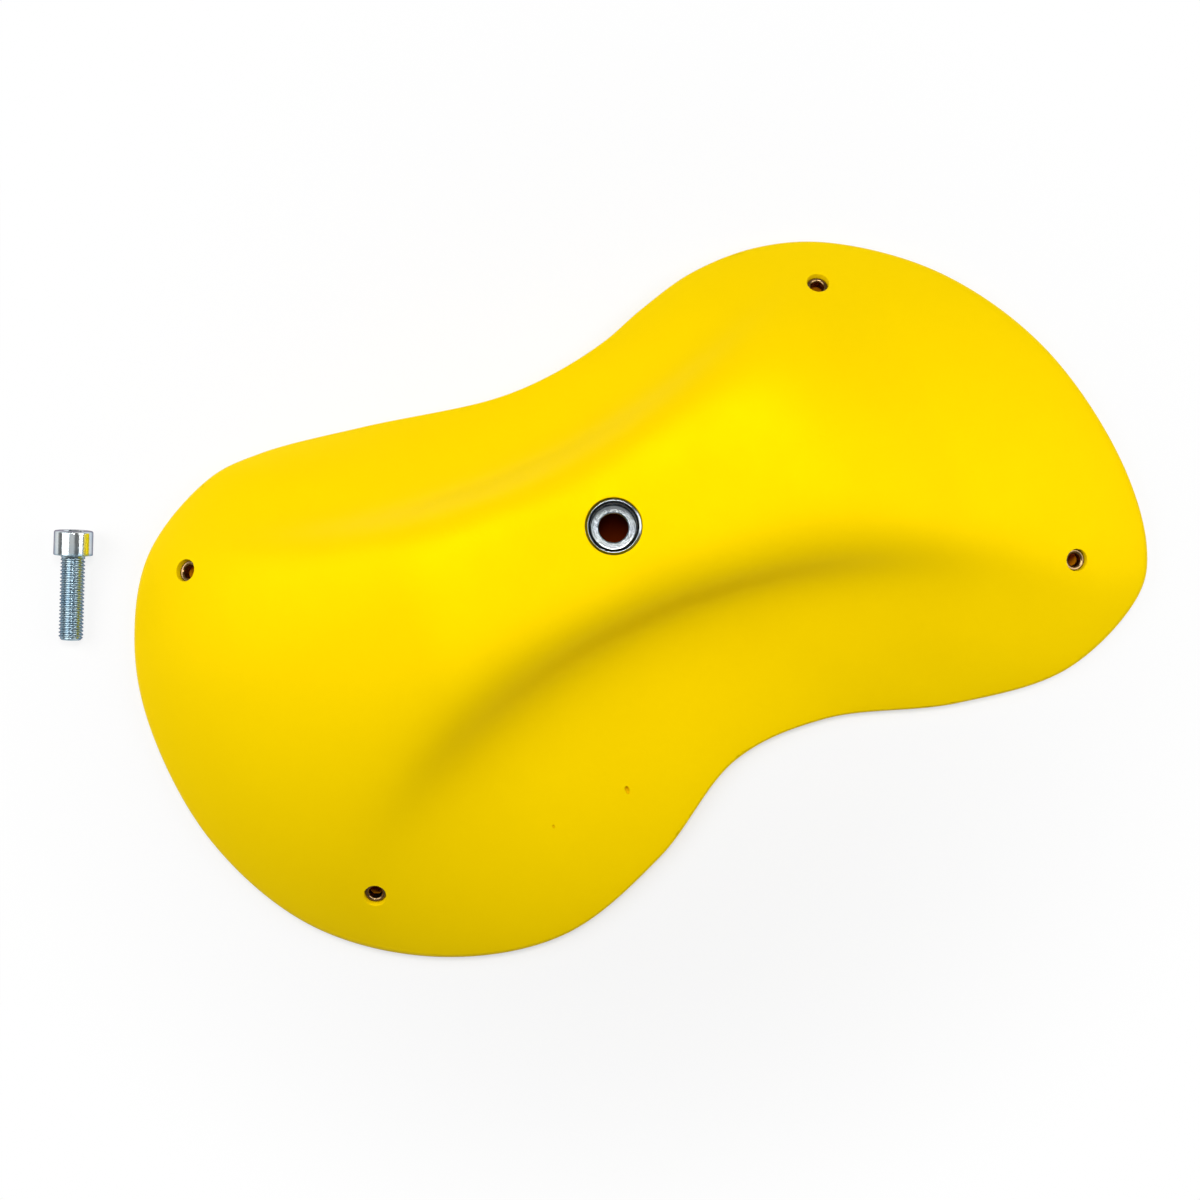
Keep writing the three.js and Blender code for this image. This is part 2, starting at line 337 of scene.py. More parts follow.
def outline_radius(angle):
    return np.interp(angle, OUTLINE_ANGLES, OUTLINE_RADII, period=2 * math.pi)


def outward_share(along, across):
    """Nothing at the bolt axis, and one at the outline."""
    return np.hypot(along, across) / outline_radius(np.arctan2(across, along))


def fade_along(along, centre, reach):
    """One at the centre, fading to nothing at the reach."""
    part = (along - centre) / reach
    return np.clip(1 - part**2, 0, 1) ** FADE_POWER


def scoop_share(scoop, along, across):
    """Share of the hill's height that one scoop takes away."""
    fade = fade_along(along, scoop["centre"], scoop["reach"])
    bend = (along - scoop["narrowest"]) / scoop["reach"]
    crease = scoop["crease"] + scoop["bow"] * bend**2
    part = np.maximum(scoop["side"] * across, 0) / crease
    soft = scoop["soft_share"] / np.maximum(fade, LEAST_FADE_SHARE)

    def bar(value):
        return ((value + np.hypot(value, soft)) / 2) ** RIDGE_EDGE_POWER

    return scoop["depth_share"] * fade * (1 - bar(1 - part**RIDGE_ROUND_POWER) / bar(1))


def surface_height(along, across):
    out = np.minimum(outward_share(along, across), 1)
    waist = fade_along(along, WAIST_CENTRE, WAIST_REACH)
    right = (1 + np.tanh(along / HILL_BLEND)) / 2
    lobe_power = LEFT_HILL_POWER + (RIGHT_HILL_POWER - LEFT_HILL_POWER) * right
    hill_power = lobe_power + (WAIST_HILL_POWER - lobe_power) * waist
    hill = (1 - out**hill_power) ** (1 / EDGE_ROUND_POWER)
    rise = CREST_HEIGHT - RIM_HEIGHT + LOBE_SWELL * (1 - waist)
    scoops = scoop_share(LOWER_SCOOP, along, across) + scoop_share(UPPER_SCOOP, along, across)
    return RIM_HEIGHT + rise * hill * (1 - scoops)


def height_at(along, across):
    """The surface's height at one place."""
    return float(surface_height(np.array([along]), np.array([across]))[0])


def surface_normal(along, across):
    slope_along = height_at(along + SLOPE_STEP, across) - height_at(along - SLOPE_STEP, across)
    slope_across = height_at(along, across + SLOPE_STEP) - height_at(along, across - SLOPE_STEP)
    return Vector((-slope_along, -slope_across, 2 * SLOPE_STEP)).normalized()


def station(along, across):
    """Matrix of a place on the surface, with Z square to it."""
    normal = surface_normal(along, across)
    turn = Vector((0, 0, 1)).rotation_difference(normal).to_matrix().to_4x4()
    return Matrix.Translation((along, across, height_at(along, across))) @ turn


SCREW_STATIONS = {
    name: station(along * HOLD_LENGTH, across * HOLD_WIDTH)
    for name, (along, across) in SCREW_SHARES.items()
}
CREST = height_at(0.0, 0.0)


# Meshes


def skin(rows, start=None, end=None):
    """Closed mesh over rows of points with equal counts. It ends at a start and an end point,
    or joins its last row to its first."""
    rows = [np.asarray(row, float) for row in rows]
    count = len(rows[0])
    points = np.vstack(rows)
    faces = []
    joins = len(rows) - 1 if start is not None else len(rows)
    for row in range(joins):
        lower = row * count
        upper = ((row + 1) % len(rows)) * count
        for i in range(count):
            j = (i + 1) % count
            faces.append((lower + i, lower + j, upper + j, upper + i))
    if start is not None:
        first = len(points)
        points = np.vstack([points, [start], [end]])
        last = (len(rows) - 1) * count
        for i in range(count):
            j = (i + 1) % count
            faces.append((first, j, i))
            faces.append((first + 1, last + i, last + j))
    mesh = bpy.data.meshes.new("skin")
    mesh.from_pydata([tuple(point) for point in points], [], faces)
    shape = bmesh.new()
    shape.from_mesh(mesh)
    bmesh.ops.recalc_face_normals(shape, faces=shape.faces)
    shape.to_mesh(mesh)
    shape.free()
    return mesh


def circle(radius, height, sides):
    angles = np.arange(sides) * 2 * math.pi / sides
    return np.column_stack([radius * np.cos(angles), radius * np.sin(angles), np.full(sides, height)])


def turned(profile, sides):
    """Turned solid about +Z from radius and height pairs. A profile that starts off the axis
    closes on itself."""
    on_axis = profile[0][0] == 0
    ring_profile = profile[1:-1] if on_axis else profile
    rows = [circle(radius, height, sides) for radius, height in ring_profile]
    if on_axis:
        return skin(rows, (0, 0, profile[0][1]), (0, 0, profile[-1][1]))
    return skin(rows)


def peg(radius, foot, top, sides, top_radius=None):
    """Solid cylinder about +Z, or a cone with another radius at its top."""
    wide = radius if top_radius is None else top_radius
    return turned([(0, foot), (radius, foot), (wide, top), (0, top)], sides)


def arc(centre, radius, start, end, steps):
    """Points of an arc in a profile, with its angles in degrees."""
    angles = [math.radians(start + (end - start) * i / steps) for i in range(steps + 1)]
    return [(centre[0] + radius * math.cos(a), centre[1] + radius * math.sin(a)) for a in angles]


def supported(profile, closed):
    """The profile with a point near each end of its long runs, to keep their shading straight."""
    ends = profile[1:] + profile[:1] if closed else profile[1:]
    points = [profile[0]]
    for start, end in zip(profile, ends):
        length = math.dist(start, end)
        if length > 4 * SUPPORT:
            for share in (SUPPORT / length, 1 - SUPPORT / length):
                radius = start[0] + (end[0] - start[0]) * share
                height = start[1] + (end[1] - start[1]) * share
                points.append((radius, height))
        points.append(end)
    return points[:-1] if closed else points


def show(name, mesh):
    piece = bpy.data.objects.new(name, mesh)
    bpy.context.scene.collection.objects.link(piece)
    return piece


def cut(piece, tools):
    """Takes the tools' shapes out of a piece."""
    for tool in tools:
        cutter = show("cutter", tool)
        modifier = piece.modifiers.new("cut", "BOOLEAN")
        modifier.operation = "DIFFERENCE"
        modifier.solver = "MANIFOLD"
        modifier.object = cutter
        done = bpy.data.meshes.new_from_object(piece.evaluated_get(bpy.context.evaluated_depsgraph_get()))
        piece.modifiers.clear()
        piece.data = done
        bpy.data.objects.remove(cutter)


def smooth(piece, sharp_angle):
    """Smooth shading, apart from edges sharper than an angle in degrees."""
    shape = bmesh.new()
    shape.from_mesh(piece.data)
    limit = math.radians(sharp_angle)
    for face in shape.faces:
        face.smooth = True
    for edge in shape.edges:
        edge.smooth = edge.calc_face_angle(0) < limit
    shape.to_mesh(piece.data)
    shape.free()


def moved(mesh, matrix):
    mesh.transform(matrix)
    return mesh


# Moulded body


def waviness(places):
    """The hand-shaped surface's slight unevenness, fading out at the rim."""
    out = outward_share(places[:, 0], places[:, 1])
    wave = [noise.noise(Vector((x, y, 0)) / WAVE_LENGTH) for x, y in places]
    return WAVE_HEIGHT * np.array(wave) * (1 - out**2)


def body_skin():
    """The outside, with a rounded rim and a small round at the back's edge."""
    edge = outline_points(BODY_COLUMNS)
    rows = []
    for ring in range(1, BODY_RINGS):
        places = edge * (ring / BODY_RINGS)
        heights = surface_height(places[:, 0], places[:, 1])
        rows.append(np.column_stack([places, heights + waviness(places)]))
    inner = inset(edge, RIM_ROUND)
    shoulder = np.column_stack([inner, surface_height(inner[:, 0], inner[:, 1])])
    corner = np.column_stack([edge, np.full(len(edge), RIM_HEIGHT)])
    wall = np.column_stack([edge, np.full(len(edge), RIM_HEIGHT - RIM_ROUND)])
    for step in range(RIM_STEPS + 1):
        t = step / RIM_STEPS
        rows.append((1 - t) ** 2 * shoulder + 2 * t * (1 - t) * corner + t**2 * wall)
    for step in range(RIM_STEPS + 1):
        angle = math.pi / 2 * step / RIM_STEPS
        places = inset(edge, BACK_ROUND * (1 - math.cos(angle)))
        heights = np.full(len(edge), BACK_ROUND * (1 - math.sin(angle)))
        rows.append(np.column_stack([places, heights]))
    return skin(rows, (0, 0, CREST), (0, 0, 0))


def lipped_tool(radius, depth, place, lip):
    """Cutter for a round pocket whose rim rounds over into the surface that it lies in."""
    profile = [(0, -depth), (radius, -depth), (radius, -lip - (depth - lip) / 2)]
    for angle in np.linspace(0, math.pi / 2, LIP_STEPS + 1):
        profile.append((radius + lip - lip * math.cos(angle), -lip + lip * math.sin(angle)))
    profile += [(radius + lip, lip), (radius + lip, 3 * lip), (0, 3 * lip)]
    mesh = turned(profile, FINE_SIDES)
    normal = place.to_3x3().col[2]
    for vertex in mesh.vertices:
        height = vertex.co.z
        point = place @ Vector((vertex.co.x, vertex.co.y, 0))
        drop = height_at(point.x, point.y) - point.z
        follow = max(0.0, min(1.0, (height + depth) / (depth - lip)))
        vertex.co = point + normal * (height + follow * drop * normal.z)
    return mesh


def rib_tool(length, angle):
    half = RIB_THICKNESS / 2
    top = half + CUT_TOP * math.tan(MOULD_DRAFT)
    section = [(-half, -OVERRUN), (half, -OVERRUN), (top, CUT_TOP), (-top, CUT_TOP)]
    rows = [[(side, y, height) for side, height in section] for y in (-length / 2, length / 2)]
    mesh = skin(rows, (0, -length / 2, CUT_TOP / 2), (0, length / 2, CUT_TOP / 2))
    return moved(mesh, Matrix.Rotation(angle, 4, "Z"))


def ceiling_height(along, across):
    """The hollow's ceiling. It ends below the back where there is no room under the scoops."""
    return np.maximum(surface_height(along, across) - WALL, -OVERRUN / 2)


def room_mesh():
    """The closed room between the back's plane and the ceiling."""
    edge = inset(outline_points(BODY_COLUMNS // 2), LAND_WIDTH)
    rows = []
    for ring in range(1, HOLLOW_RINGS + 1):
        places = edge * (ring / HOLLOW_RINGS)
        rows.append(np.column_stack([places, ceiling_height(places[:, 0], places[:, 1])]))
    rows.append(np.column_stack([edge, np.full(len(edge), -OVERRUN)]))
    return skin(rows, (0, 0, CREST - WALL), (0, 0, -OVERRUN))


def hollow_tool():
    """The hollow back: the room under the wall, less the boss, the ribs and the screw posts."""
    tool = show("room", room_mesh())
    boss_foot = FLANGE_RADIUS + WALL
    boss_top = boss_foot + (CUT_TOP + OVERRUN) * math.tan(MOULD_DRAFT)
    boss = peg(boss_foot, -OVERRUN, CUT_TOP, FINE_SIDES, boss_top)
    ribs = [rib_tool(2 * HOLD_WIDTH, 0), rib_tool(2 * HOLD_LENGTH, math.pi / 2)]
    post = FERRULE_RADIUS + BOSS_WALL
    posts = [moved(peg(post, -CUT_TOP, 0, FINE_SIDES), place) for place in SCREW_STATIONS.values()]
    cut(tool, [boss, *ribs, *posts])
    mesh = tool.data.copy()
    bpy.data.objects.remove(tool)
    return mesh


def cup_tools():
    """The cup's pocket, its rounded lip and the hole for the bolt."""
    foot = SEAT_HEIGHT - CUP_FLOOR - SEAT_GAP
    flange_top = SEAT_HEIGHT + SEAT_GAP
    throat = CUP_RADIUS + SEAT_GAP
    flange = FLANGE_RADIUS + SEAT_GAP
    profile = [(0, foot), (flange, foot), (flange, flange_top), (throat, flange_top)]
    profile += [(throat, CUT_TOP), (0, CUT_TOP)]
    pocket = turned(profile, FINE_SIDES)
    lip = lipped_tool(throat, CUP_LIP_DEPTH, station(0, 0), CUP_LIP)
    hole = peg(BOLT_HOLE_RADIUS + SEAT_GAP, -OVERRUN, SEAT_HEIGHT, FINE_SIDES)
    return [pocket, lip, hole]


def screw_tools(place):
    """A screw's counterbore and its hole through the body."""
    depth = FERRULE_DEPTH + FERRULE_HEIGHT + SEAT_GAP
    counterbore = lipped_tool(FERRULE_RADIUS + SEAT_GAP, depth, place, SCREW_LIP)
    hole = peg(SCREW_HOLE_RADIUS + SEAT_GAP, -2 * CUT_TOP, -FERRULE_DEPTH, BORE_SIDES)
    return [counterbore, moved(hole, place)]


def pinhole_tool(pinhole):
    """A casting bubble's dent, a little longer than it is wide."""
    radius = pinhole["radius"]
    sunk = PINHOLE_SUNK_SHARE * radius
    profile = [(0, -radius - sunk)]
    for angle in np.linspace(-PINHOLE_ARC_RADIANS, PINHOLE_ARC_RADIANS, PINHOLE_STEPS + 1):
        profile.append((radius * math.cos(angle), radius * math.sin(angle) - sunk))
    profile.append((0, radius - sunk))
    place = station(pinhole["along_share"] * HOLD_LENGTH, pinhole["across_share"] * HOLD_WIDTH)
    stretch = Matrix.Diagonal((*PINHOLE_STRETCH_SHARES, 1))
    return moved(turned(profile, PINHOLE_SIDES), place @ stretch)


def make_body():
    body = show("resin_body", body_skin())
    tools = [hollow_tool(), *cup_tools()]
    for place in SCREW_STATIONS.values():
        tools += screw_tools(place)
    for pinhole in PINHOLES:
        tools.append(pinhole_tool(pinhole))
    cut(body, tools)
    body.data.transform(HOLD_PLACE)
    smooth(body, SHARP_ANGLE)
    return body


# Cup and ferrules


def make_cup():
    """Cup with a sloping rim, a funnelled bore and a flange that anchors it in the resin."""
    foot = SEAT_HEIGHT - CUP_FLOOR
    top = CREST - CUP_RECESS
    outer = (CUP_RADIUS - CUP_RIM_ROUND, top - CUP_RIM_SLOPE - CUP_RIM_ROUND)
    inner = (CUP_BORE_RADIUS + FUNNEL_WIDTH + CUP_RIM_ROUND, top - CUP_RIM_ROUND)
    seat_corner = (CUP_BORE_RADIUS - SEAT_FILLET, SEAT_HEIGHT + SEAT_FILLET)
    profile = [(BOLT_HOLE_RADIUS, foot), (FLANGE_RADIUS, foot)]
    profile += [(FLANGE_RADIUS, SEAT_HEIGHT), (CUP_RADIUS, SEAT_HEIGHT)]
    profile += arc(outer, CUP_RIM_ROUND, start=0, end=70, steps=5)
    profile += arc(inner, CUP_RIM_ROUND, start=70, end=146, steps=6)
    profile += [(CUP_BORE_RADIUS, top - FUNNEL_DEPTH)]
    profile += arc(seat_corner, SEAT_FILLET, start=0, end=-90, steps=6)
    profile += [(BOLT_HOLE_RADIUS + SEAT_CHAMFER, SEAT_HEIGHT)]
    profile += [(BOLT_HOLE_RADIUS, SEAT_HEIGHT - SEAT_CHAMFER)]
    cup = show("steel_cup", moved(turned(supported(profile, True), FINE_SIDES), HOLD_PLACE))
    smooth(cup, SHARP_ANGLE)
    return cup


def make_ferrule(name, place):
    """Bush with a rounded entry for a screw."""
    top = -FERRULE_DEPTH
    foot = top - FERRULE_HEIGHT
    side = FERRULE_RADIUS - FERRULE_EDGE
    profile = [(SCREW_HOLE_RADIUS, foot)]
    entry = (SCREW_HOLE_RADIUS + FERRULE_ENTRY, top - FERRULE_ENTRY)
    profile += arc((side, foot + FERRULE_EDGE), FERRULE_EDGE, start=-90, end=0, steps=4)
    profile += arc((side, top - FERRULE_EDGE), FERRULE_EDGE, start=0, end=90, steps=4)
    profile += arc(entry, FERRULE_ENTRY, start=90, end=180, steps=6)
    mesh = moved(turned(supported(profile, True), FERRULE_SIDES), HOLD_PLACE @ place)
    ferrule = show("steel_ferrule_" + name, mesh)
    smooth(ferrule, SHARP_ANGLE)
    return ferrule


# Bolt


def thread_radius(height, angles):
    """Radius of the thread's surface: flat crests and roots with slopes between them."""
    turn = ((height / THREAD_PITCH) - angles / (2 * math.pi)) % 1
    slope_share = (1 - THREAD_CREST_SHARE - THREAD_ROOT_SHARE) / 2
    rise = np.clip((np.abs(turn - 0.5) - THREAD_CREST_SHARE / 2) / slope_share, 0, 1)
    rounded = rise * rise * (3 - 2 * rise)
    return BOLT_RADIUS - THREAD_DEPTH * rounded


def thread_rows(tip, neck):
    """Rings of the thread, from its chamfered tip to where it runs out at the neck."""
    angles = np.arange(BOLT_SIDES) * 2 * math.pi / BOLT_SIDES
    rows = []
    for height in np.arange(tip, neck, THREAD_PITCH / THREAD_STEPS):
        chamfered = BOLT_RADIUS - TIP_CHAMFER + (height - tip)
        radius = np.minimum(thread_radius(height, angles), chamfered)
        blend = np.clip((height - neck + THREAD_RUNOUT) / THREAD_RUNOUT, 0, 1)
        radius = radius * (1 - blend) + BOLT_RADIUS * NECK_SHARE * blend
        heights = np.full(BOLT_SIDES, height)
        rows.append(np.column_stack([radius * np.cos(angles), radius * np.sin(angles), heights]))
    return rows


def head_rows(neck):
    """Rings of the neck's fillet and of the head."""
    under = (HEAD_RADIUS - HEAD_UNDER_EDGE, -HEAD_HEIGHT + HEAD_UNDER_EDGE)
    profile = arc((BOLT_RADIUS + NECK_FILLET, neck), NECK_FILLET, start=180, end=90, steps=4)
    profile += arc(under, HEAD_UNDER_EDGE, start=-90, end=0, steps=4)
    profile += arc((HEAD_RADIUS - HEAD_EDGE, -HEAD_EDGE), HEAD_EDGE, start=0, end=90, steps=8)
    return [circle(radius, height, BOLT_SIDES) for radius, height in supported(profile, False)]


def key_tools():
    """The hexagonal socket with its drill point, and its flared entry."""
    corner = KEY_ACROSS_FLATS / math.sqrt(3)
    key = [circle(corner, height, KEY_SIDES) for height in (-KEY_DEPTH, OVERRUN)]
    socket = skin(key, (0, 0, -KEY_DEPTH - KEY_DRILL_DEPTH), (0, 0, OVERRUN))
    entry = peg(corner - KEY_FLARE, -KEY_FLARE, KEY_FLARE, BOLT_SIDES, corner + KEY_FLARE)
    return [socket, entry]


def make_bolt():
    """Socket head cap screw, made along +Z with its head's top at zero, then laid on the floor."""
    tip = -HEAD_HEIGHT - BOLT_LENGTH
    neck = -HEAD_HEIGHT - NECK_FILLET
    rows = thread_rows(tip, neck) + head_rows(neck)
    bolt = show("zinc_bolt", skin(rows, (0, 0, tip), (0, 0, 0)))
    cut(bolt, key_tools())
    smooth(bolt, BOLT_SHARP_ANGLE)
    lean = math.atan2(HEAD_RADIUS - BOLT_RADIUS, BOLT_LENGTH - TIP_CHAMFER)
    turn = Matrix.Rotation(LOOSE_BOLT_TURN, 4, "Z") @ Matrix.Rotation(lean - math.pi / 2, 4, "X")
    bolt.data.transform(turn)
    low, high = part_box("mounting_bolt")
    points = np.array([vertex.co for vertex in bolt.data.vertices])
    middle = Vector((points.min(0) + points.max(0)) / 2)
    bolt.data.transform(Matrix.Translation((low + high) / 2 - middle))
    return bolt


# Materials


class Shader:
    """A node material being put together."""

    def __init__(self, name):
        self.material = bpy.data.materials.new(name)
        self.material.use_nodes = True
        self.tree = self.material.node_tree
        self.surface = self.tree.nodes["Principled BSDF"]
        self.place = self.add("ShaderNodeTexCoord").outputs["Object"]

    def add(self, kind, **settings):
        node = self.tree.nodes.new(kind)
        for key, value in settings.items():
            setattr(node, key, value)
        return node

    def link(self, output, socket):
        self.tree.links.new(output, socket)

    def noise(self, per_metre, detail=2.0, roughness=0.5):
        node = self.add("ShaderNodeTexNoise")
        node.inputs["Scale"].default_value = per_metre
        node.inputs["Detail"].default_value = detail
        node.inputs["Roughness"].default_value = roughness
        self.link(self.place, node.inputs["Vector"])
        return node.outputs["Fac"]

    def spread(self, value, low, high, start=0.3, end=0.7):
        """Values from low to high over a range, which is a noise's middle one if not given."""
        node = self.add("ShaderNodeMapRange")
        node.inputs["From Min"].default_value = start
        node.inputs["From Max"].default_value = end
        node.inputs["To Min"].default_value = low
        node.inputs["To Max"].default_value = high
        self.link(value, node.inputs["Value"])
        return node.outputs["Result"]

    def between(self, value, first, second):
        """A colour from the first to the second as a value goes from 0 to 1."""
        node = self.add("ShaderNodeMixRGB")
        self.link(value, node.inputs["Fac"])
        node.inputs["Color1"].default_value = (*first, 1)
        node.inputs["Color2"].default_value = (*second, 1)
        return node.outputs["Color"]

    def times(self, first, second):
        """Two colours multiplied."""
        node = self.add("ShaderNodeMixRGB", blend_type="MULTIPLY")
        node.inputs["Fac"].default_value = 1
        self.link(first, node.inputs["Color1"])
        self.link(second, node.inputs["Color2"])
        return node.outputs["Color"]

    def painted_over(self, colour, clear, cover):
        """A colour where a value is 1, and the cover's colour painted over it where the value is nothing.
        """
        node = self.add("ShaderNodeMixRGB")
        self.link(clear, node.inputs["Fac"])
        node.inputs["Color1"].default_value = (*cover, 1)
        self.link(colour, node.inputs["Color2"])
        return node.outputs["Color"]

    def bump(self, height, distance, strength, below=None):
        node = self.add("ShaderNodeBump")
        node.inputs["Distance"].default_value = distance
        node.inputs["Strength"].default_value = strength
        self.link(height, node.inputs["Height"])
        if below is not None:
            self.link(below, node.inputs["Normal"])
        return node.outputs["Normal"]

    def near_line(self, point, direction, inside, outside):
        """Nothing within one distance of a line, and one beyond another."""
        offset = self.add("ShaderNodeVectorMath", operation="SUBTRACT")
        self.link(self.place, offset.inputs[0])
        offset.inputs[1].default_value = point
        sideways = self.add("ShaderNodeVectorMath", operation="CROSS_PRODUCT")
        self.link(offset.outputs["Vector"], sideways.inputs[0])
        sideways.inputs[1].default_value = direction
        distance = self.add("ShaderNodeVectorMath", operation="LENGTH")
        self.link(sideways.outputs["Vector"], distance.inputs[0])
        return self.spread(distance.outputs["Value"], 0, 1, inside, outside)

    def finish(self, colour, roughness, normal, **constants):
        """The surface's inputs, and the material."""
        self.link(colour, self.surface.inputs["Base Color"])
        self.link(roughness, self.surface.inputs["Roughness"])
        self.link(normal, self.surface.inputs["Normal"])
        for name, value in constants.items():
            self.surface.inputs[name.replace("_", " ")].default_value = value
        return self.material


def yellow_resin():
    """Matt moulded resin with a fine sandy grain, slight shifts of shade, and painted shade inside the
    screw holes.
    """
    shader = Shader("yellow_resin")
    cloud = shader.spread(shader.noise(RESIN_CLOUDS, detail=3), 0, 1)
    colour = shader.between(cloud, RESIN_PALE, RESIN_DEEP)
    # Painted shade inside each screw hole, below its ferrule
    for screw in SCREW_STATIONS.values():
        axis = HOLD_PLACE @ screw
        direction = axis.col[2].to_3d()
        unshaded_wall = shader.near_line(axis.translation, direction, HOLE_SHADE_RADIUS, HOLE_SHADE_RADIUS + HOLE_SHADE_EDGE)
        colour = shader.painted_over(colour, unshaded_wall, PAINTED_HOLE_SHADE)
    roughness = shader.spread(shader.noise(RESIN_PATCHES, detail=3), *RESIN_ROUGHNESS)
    sand = shader.noise(RESIN_GRAIN, detail=3, roughness=0.6)
    grain = shader.bump(sand, RESIN_GRAIN_HEIGHT, strength=0.55)
    pores = shader.bump(shader.noise(RESIN_PORES), RESIN_PORE_HEIGHT, strength=0.25, below=grain)
    return shader.finish(
        colour,
        roughness,
        pores,
        Diffuse_Roughness=0.3,
        Metallic=0.11,
        Specular_IOR_Level=0.1,
        Specular_Tint=(*RESIN_SHEEN_TINT, 1),
    )


def thread_tone(shader, colour, roughness):
    """The bolt's colour and roughness, with its thread darker, bluer and duller than its head."""
    parts = shader.add("ShaderNodeSeparateXYZ")
    shader.link(shader.place, parts.inputs[0])
    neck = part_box("mounting_bolt")[1].y - HEAD_HEIGHT
    on_thread = shader.spread(parts.outputs["Y"], 1, 0, neck - HEAD_EDGE, neck)
    total = shader.add("ShaderNodeMath", operation="MULTIPLY_ADD")
    shader.link(on_thread, total.inputs[0])
    total.inputs[1].default_value = THREAD_ROUGHNESS
    shader.link(roughness, total.inputs[2])
    shaded = shader.times(colour, shader.between(on_thread, (1, 1, 1), THREAD_SHADE))
    return shaded, total.outputs[0]


def zinc(name, steel, threaded=False):
    """Bright zinc plate with stains between two tints, small dents and fine scratches."""
    shader = Shader(name)
    stain = shader.spread(shader.noise(ZINC_STAINS, detail=4), 0, 1)
    colour = shader.between(stain, steel["pale"], steel["blue"])
    roughness = shader.spread(shader.noise(ZINC_PATCHES, detail=4), *steel["roughness"])
    if threaded:
        colour, roughness = thread_tone(shader, colour, roughness)
    dents = shader.bump(shader.noise(ZINC_DENTS), ZINC_DENT_HEIGHT, steel["dents"])
    fine = shader.noise(ZINC_SCRATCHES, detail=3)
    scratches = shader.bump(fine, ZINC_SCRATCH_HEIGHT, strength=0.4, below=dents)
    tint = (*ZINC_EDGE_TINT, 1)
    return shader.finish(colour, roughness, scratches, Metallic=1.0, Specular_Tint=tint)


def finish_piece(piece, material, slot, body, *nodes):
    piece.data.materials.clear()
    piece.data.materials.append(material)
    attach(piece, body)
    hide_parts(*nodes)


# Stage: floor, lamps, world and camera


def combined(tree, operation, first, second):
    node = tree.nodes.new("ShaderNodeMath")
    node.operation = operation
    tree.links.new(first, node.inputs[0])
    tree.links.new(second, node.inputs[1])
    return node.outputs[0]


def seen_rays(tree):
    """One for what the camera, metal or glass sees, and nothing for the light on matt surfaces."""
    rays = tree.nodes.new("ShaderNodeLightPath")
    seen = rays.outputs["Is Camera Ray"]
    for ray in ("Is Glossy Ray", "Is Transmission Ray"):
        seen = combined(tree, "MAXIMUM", seen, rays.outputs[ray])
    return seen


def eased(tree, value, start, end, low, high):
    """Values that go gently from low to high over a range."""
    node = tree.nodes.new("ShaderNodeMapRange")
    node.interpolation_type = "SMOOTHSTEP"
    node.inputs["From Min"].default_value = start
    node.inputs["From Max"].default_value = end
    node.inputs["To Min"].default_value = low
    node.inputs["To Max"].default_value = high
    tree.links.new(value, node.inputs["Value"])
    return node.outputs["Result"]


def away_from(tree, place, centre, near, far, low=0.0):
    """A value from low at one distance from a centre to 1 at another."""
    distance = tree.nodes.new("ShaderNodeVectorMath")
    distance.operation = "DISTANCE"
    tree.links.new(place, distance.inputs[0])
    distance.inputs[1].default_value = centre
    return eased(tree, distance.outputs["Value"], near, far, low, 1.0)


def floor_outside_painted_shade(tree, place):
    """Nothing where painted shade darkens the floor under the hold's boss and posts, and one elsewhere.
    """
    unshaded = away_from(tree, place, BOLT_AXIS, UNDER_HOLD_SHADE_RADIUS, UNDER_HOLD_SHADE_RADIUS + UNDER_HOLD_SHADE_EDGE)
    for screw in SCREW_STATIONS.values():
        axis = HOLD_PLACE @ screw
        point = axis.translation
        direction = axis.col[2].to_3d()
        foot = point - direction * (point.z / direction.z)
        patch = away_from(tree, place, foot, UNDER_SCREW_SHADE_RADIUS, UNDER_SCREW_SHADE_RADIUS + UNDER_HOLD_SHADE_EDGE)
        unshaded = combined(tree, "MULTIPLY", unshaded, patch)
    return unshaded


def make_floor():
    """Pale floor that turns white in the distance, with painted shade where the hold covers it."""
    mesh = bpy.data.meshes.new("floor")
    corners = [(-1, -1), (1, -1), (1, 1), (-1, 1)]
    mesh.from_pydata([(x * FLOOR_REACH, y * FLOOR_REACH, 0) for x, y in corners], [], [(0, 1, 2, 3)])
    floor = show("floor", mesh)
    material = bpy.data.materials.new("pale_floor")
    material.use_nodes = True
    tree = material.node_tree
    surface = tree.nodes["Principled BSDF"]
    surface.inputs["Roughness"].default_value = FLOOR_ROUGHNESS
    surface.inputs["Specular IOR Level"].default_value = 0
    place = tree.nodes.new("ShaderNodeTexCoord").outputs["Object"]
    # Painted shade on the floor under the hold, which also gets no glow there
    unshaded = floor_outside_painted_shade(tree, place)
    shade = tree.nodes.new("ShaderNodeMixRGB")
    tree.links.new(unshaded, shade.inputs["Fac"])
    shade.inputs["Color1"].default_value = (*PAINTED_UNDER_HOLD_SHADE, 1)
    shade.inputs["Color2"].default_value = (*FLOOR_SHADE, 1)
    tree.links.new(shade.outputs["Color"], surface.inputs["Base Color"])
    far = away_from(tree, place, (0, 0, 0), FLOOR_NEAR, FLOOR_FAR, FLOOR_GLOW)
    glow = combined(tree, "MULTIPLY", far, unshaded)
    white = tree.nodes.new("ShaderNodeEmission")
    mix = tree.nodes.new("ShaderNodeMixShader")
    tree.links.new(combined(tree, "MULTIPLY", seen_rays(tree), glow), mix.inputs[0])
    tree.links.new(surface.outputs[0], mix.inputs[1])
    tree.links.new(white.outputs[0], mix.inputs[2])
    tree.links.new(mix.outputs[0], tree.nodes["Material Output"].inputs["Surface"])
    mesh.materials.append(material)


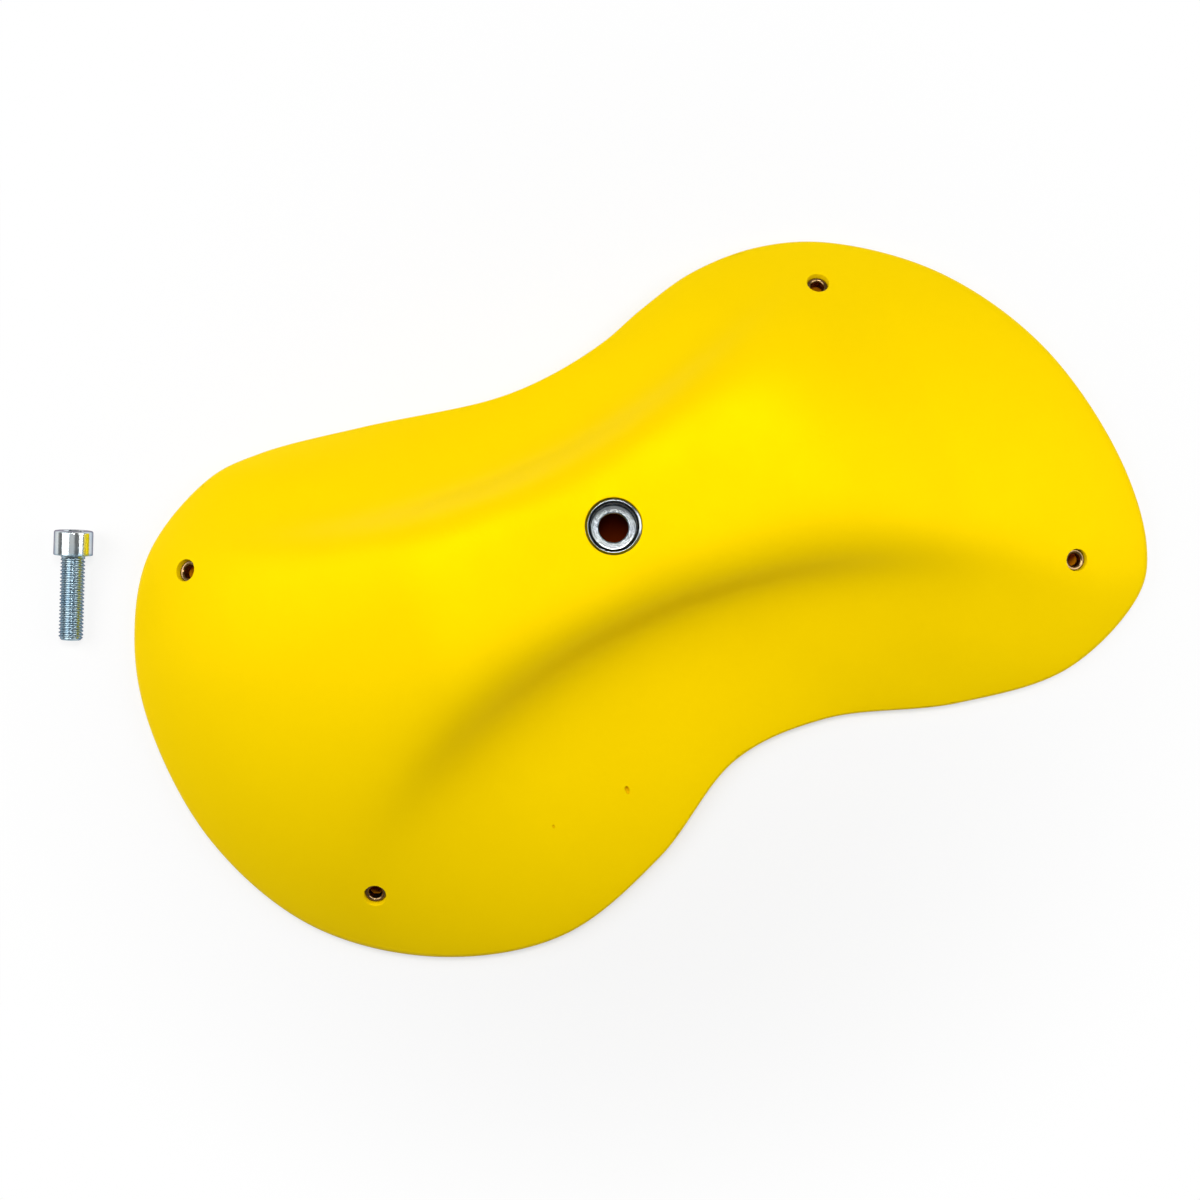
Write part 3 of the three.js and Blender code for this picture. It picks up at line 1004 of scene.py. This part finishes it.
def make_world():
    """White to the camera. Metal and glass see it pale at the horizon and overhead, and dim between."""
    world = bpy.data.worlds.new("studio")
    world.use_nodes = True
    bpy.context.scene.world = world
    tree = world.node_tree
    direction = tree.nodes.new("ShaderNodeTexCoord")
    parts = tree.nodes.new("ShaderNodeSeparateXYZ")
    tree.links.new(direction.outputs["Generated"], parts.inputs[0])
    upward = parts.outputs["Z"]
    horizon = eased(tree, upward, *HORIZON, HORIZON_LEVEL, WALL_LEVEL)
    ceiling = eased(tree, upward, *CEILING, WALL_LEVEL, CEILING_LEVEL)
    level = combined(tree, "MAXIMUM", horizon, ceiling)
    white = tree.nodes.new("ShaderNodeLightPath").outputs["Is Camera Ray"]
    strength = combined(tree, "MAXIMUM", combined(tree, "MULTIPLY", level, seen_rays(tree)), white)
    background = tree.nodes["Background"]
    background.inputs["Color"].default_value = (1, 1, 1, 1)
    tree.links.new(strength, background.inputs["Strength"])


def make_lamp(name, place, size, level):
    """Round softbox aimed at the origin, where it lights a facing white card to a level."""
    lamp = bpy.data.lights.new(name, "AREA")
    lamp.shape = "DISK"
    lamp.size = size
    lamp.energy = level * math.pi**2 * Vector(place).length_squared
    holder = bpy.data.objects.new(name, lamp)
    bpy.context.scene.collection.objects.link(holder)
    holder.location = place
    holder.rotation_euler = (-Vector(place)).to_track_quat("-Z", "Y").to_euler()


def make_camera():
    """Camera straight above, as wide as the photograph."""
    lens = bpy.data.cameras.new("camera")
    lens.sensor_fit = "HORIZONTAL"
    lens.angle = 2 * math.atan(VIEW_WIDTH / 2 / CAMERA_PLACE[2])
    lens.clip_end = CAMERA_SIGHT
    camera = bpy.data.objects.new("camera", lens)
    bpy.context.scene.collection.objects.link(camera)
    camera.location = CAMERA_PLACE
    bpy.context.scene.camera = camera


finish_piece(make_body(), yellow_resin(), "yellow_resin", "hold", "hold_body")
cup_steel = zinc("zinc_cup", CUP_STEEL)
finish_piece(make_cup(), cup_steel, "zinc_plated_steel", "hold", "bolt_insert")
# The ferrules' steel carries painted shade and a painted brown reflection
shaded_ferrule_steel = zinc("zinc_ferrule_painted_shade", FERRULE_SHADED_STEEL)
for name, place in SCREW_STATIONS.items():
    ferrule = make_ferrule(name, place)
    finish_piece(ferrule, shaded_ferrule_steel, "zinc_plated_steel", "hold", "screw_ferrule_" + name)
bolt_steel = zinc("zinc_bolt", BOLT_STEEL, threaded=True)
finish_piece(make_bolt(), bolt_steel, "zinc_plated_steel", "bolt", "mounting_bolt")

make_floor()
make_world()
for name, lamp in LAMPS.items():
    make_lamp(name, **lamp)
make_camera()
bpy.context.scene.view_settings.view_transform = "Standard"
